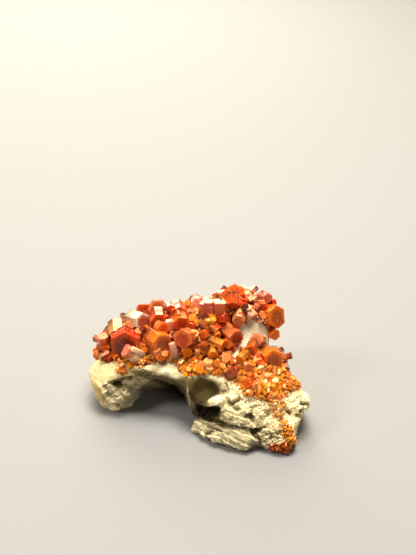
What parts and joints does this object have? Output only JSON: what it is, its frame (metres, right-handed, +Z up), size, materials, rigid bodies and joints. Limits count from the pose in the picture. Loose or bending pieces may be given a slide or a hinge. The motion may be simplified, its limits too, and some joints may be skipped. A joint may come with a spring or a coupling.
{
  "type": "vanadinite on matrix",
  "caption": "Mineral specimen: stubby hexagonal red to orange crystals crowded over the upper side of an arched piece of pale cream rock",
  "frame": {"origin": "bottom centre of the bounding box, on the surface that the specimen stands on", "axes": "+Z up, +X along the specimen's length to the right of the display side, -Y towards the viewer of the display side"},
  "size_m": [0.0751, 0.0554, 0.0398],
  "materials": {
    "matrix_rock": "rough pale cream rock",
    "vanadinite": "glossy red crystal",
    "vanadinite_brown": "small glossy brown-orange crystals",
    "vanadinite_orange": "small glossy orange crystals"
  },
  "bodies": {
    "root": {"matrix": "matrix_rock", "vanadinite_crust": "vanadinite", "corner_druse": "vanadinite_brown", "lobe_druse": "vanadinite_orange"}
  },
  "joints": []
}
